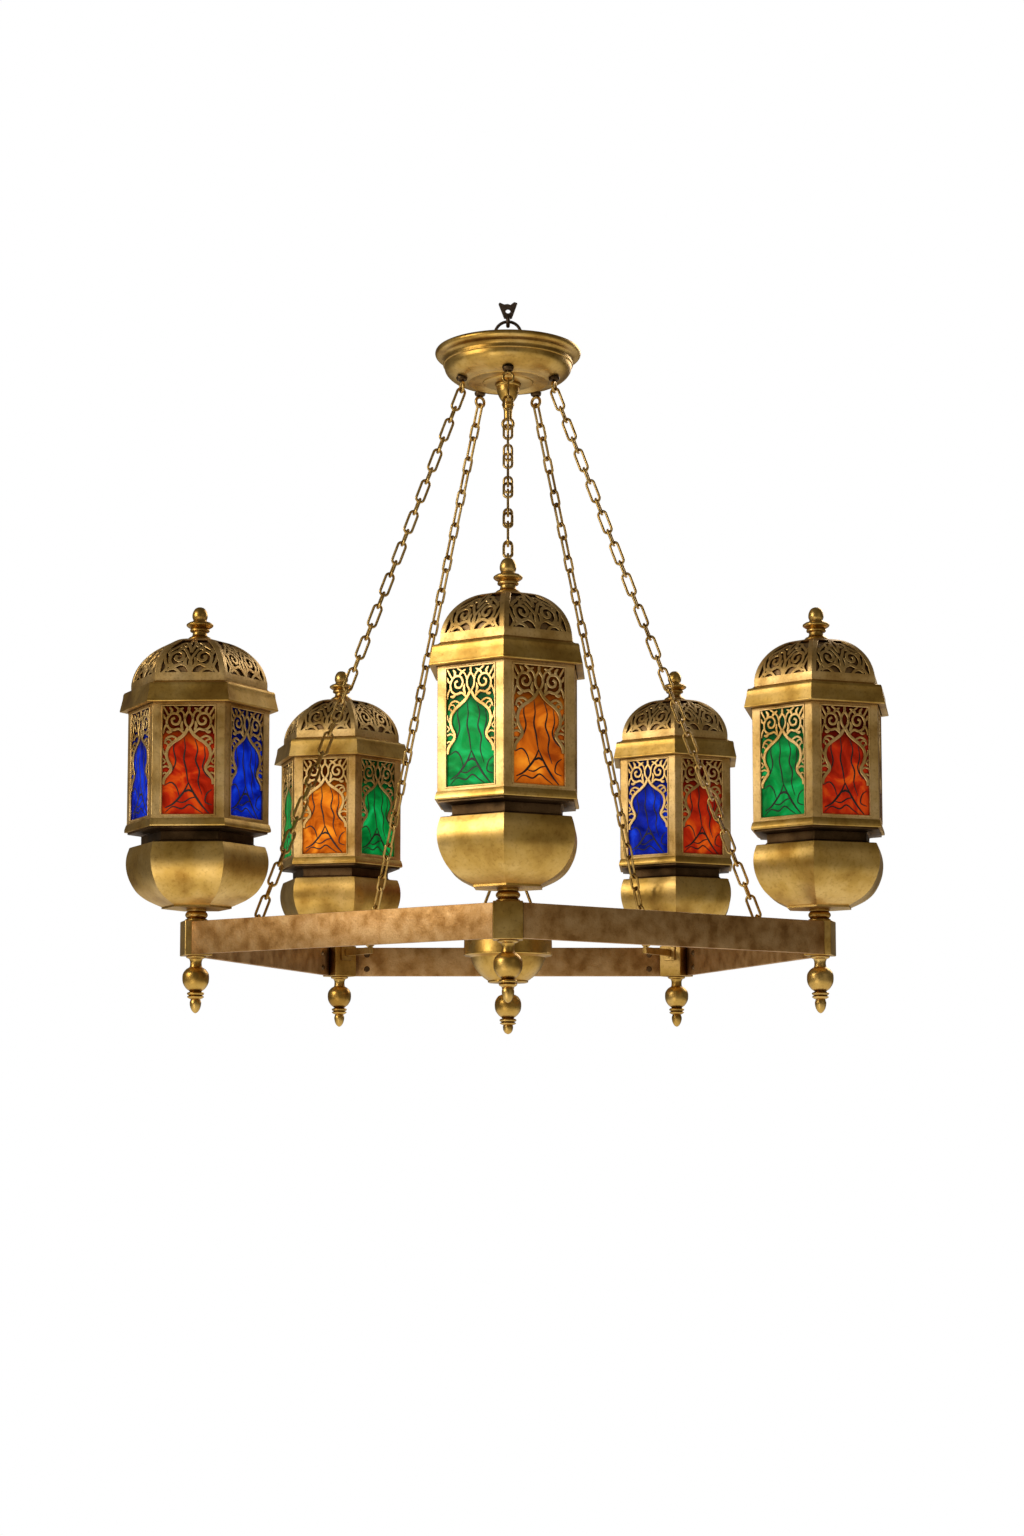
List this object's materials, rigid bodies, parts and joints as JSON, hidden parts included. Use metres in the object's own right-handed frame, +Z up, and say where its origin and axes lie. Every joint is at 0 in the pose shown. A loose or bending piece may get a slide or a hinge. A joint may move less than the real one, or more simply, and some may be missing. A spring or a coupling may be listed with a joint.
{
  "type": "lantern chandelier",
  "caption": "Hanging brass chandelier: pierced six-sided lanterns with stained-glass panes on a pentagonal rail frame, chained to a round canopy.",
  "frame": {"origin": "centre of the bolt hole in the hanger's blade", "axes": "+Z up; +Y along the bolt hole; the front lantern is towards -Y"},
  "size_m": [0.7604, 0.7346, 0.7658],
  "materials": {
    "aged_brass": "satin, browned in the recesses",
    "fretwork_brass": "matt, paler",
    "dark_brass": "dark patina",
    "chain_brass": "satin, worn",
    "rail_patina": "mottled brown patina",
    "dark_iron": "forged, waxed",
    "tube_steel": "zinc plated",
    "lampholder": "glazed",
    "lamp_glass": "frosted",
    "glass_blue": "painted stained glass",
    "glass_red": "painted stained glass",
    "glass_green": "painted stained glass",
    "glass_amber": "painted stained glass"
  },
  "bodies": {
    "hanger": {"hanger": "dark_iron"},
    "ring": {"hanger_ring": "dark_iron"},
    "dome_lift_1": {"dome_1": "fretwork_brass", "cornice_1": "aged_brass", "dome_finial_1": "aged_brass"},
    "dome_lift_2": {"dome_2": "fretwork_brass", "cornice_2": "aged_brass", "dome_finial_2": "aged_brass"},
    "dome_lift_3": {"dome_3": "fretwork_brass", "cornice_3": "aged_brass", "dome_finial_3": "aged_brass"},
    "dome_lift_4": {"dome_4": "fretwork_brass", "cornice_4": "aged_brass", "dome_finial_4": "aged_brass"},
    "dome_lift_5": {"dome_5": "fretwork_brass", "cornice_5": "aged_brass", "dome_finial_5": "aged_brass"},
    "centre_drop": {"centre_chain": "chain_brass", "centre_bail": "chain_brass", "centre_bowl": "aged_brass", "centre_finial": "aged_brass"},
    "fixture": {"lantern_case_1": "fretwork_brass", "lantern_bowl_1": "aged_brass", "rail_1": "rail_patina", "chain_1": "chain_brass", "lantern_case_2": "fretwork_brass", "lantern_bowl_2": "aged_brass", "rail_2": "rail_patina", "chain_2": "chain_brass", "lantern_case_3": "fretwork_brass", "lantern_bowl_3": "aged_brass", "rail_3": "rail_patina", "chain_3": "chain_brass", "lantern_case_4": "fretwork_brass", "lantern_bowl_4": "aged_brass", "rail_4": "rail_patina", "chain_4": "chain_brass", "lantern_case_5": "fretwork_brass", "lantern_bowl_5": "aged_brass", "rail_5": "rail_patina", "chain_5": "chain_brass", "glass_blue": "glass_blue", "glass_red": "glass_red", "glass_green": "glass_green", "glass_amber": "glass_amber", "necks": "dark_brass", "corner_blocks": "aged_brass", "stems": "aged_brass", "tie_tubes": "tube_steel", "lock_nuts": "tube_steel", "lampholders": "lampholder", "lamps": "lamp_glass", "drop_finials": "aged_brass", "chain_lugs": "chain_brass", "rail_screws": "aged_brass", "canopy_eyes": "chain_brass", "eye_nuts": "tube_steel", "canopy": "aged_brass", "canopy_boss": "aged_brass", "canopy_loop": "dark_iron"}
  },
  "joints": [
    {"name": "ring_swing", "type": "hinge", "parent": "hanger", "child": "ring", "pos_m": [0, 0, -0.011], "axis": [1, 0, 0], "range_deg": [-8, 8]},
    {"name": "fixture_swing", "type": "hinge", "parent": "ring", "child": "fixture", "pos_m": [0, 0, -0.038], "axis": [0, 1, 0], "range_deg": [-6, 6]},
    {"name": "centre_swing", "type": "hinge", "parent": "fixture", "child": "centre_drop", "pos_m": [0, 0, -0.125], "axis": [1, 0, 0], "range_deg": [-6, 6]},
    {"name": "dome_1_lift", "type": "slide", "parent": "fixture", "child": "dome_lift_1", "axis": [0, 0, 1], "range_m": [0, 0.12]},
    {"name": "dome_2_lift", "type": "slide", "parent": "fixture", "child": "dome_lift_2", "axis": [0, 0, 1], "range_m": [0, 0.12]},
    {"name": "dome_3_lift", "type": "slide", "parent": "fixture", "child": "dome_lift_3", "axis": [0, 0, 1], "range_m": [0, 0.12]},
    {"name": "dome_4_lift", "type": "slide", "parent": "fixture", "child": "dome_lift_4", "axis": [0, 0, 1], "range_m": [0, 0.12]},
    {"name": "dome_5_lift", "type": "slide", "parent": "fixture", "child": "dome_lift_5", "axis": [0, 0, 1], "range_m": [0, 0.12]}
  ]
}
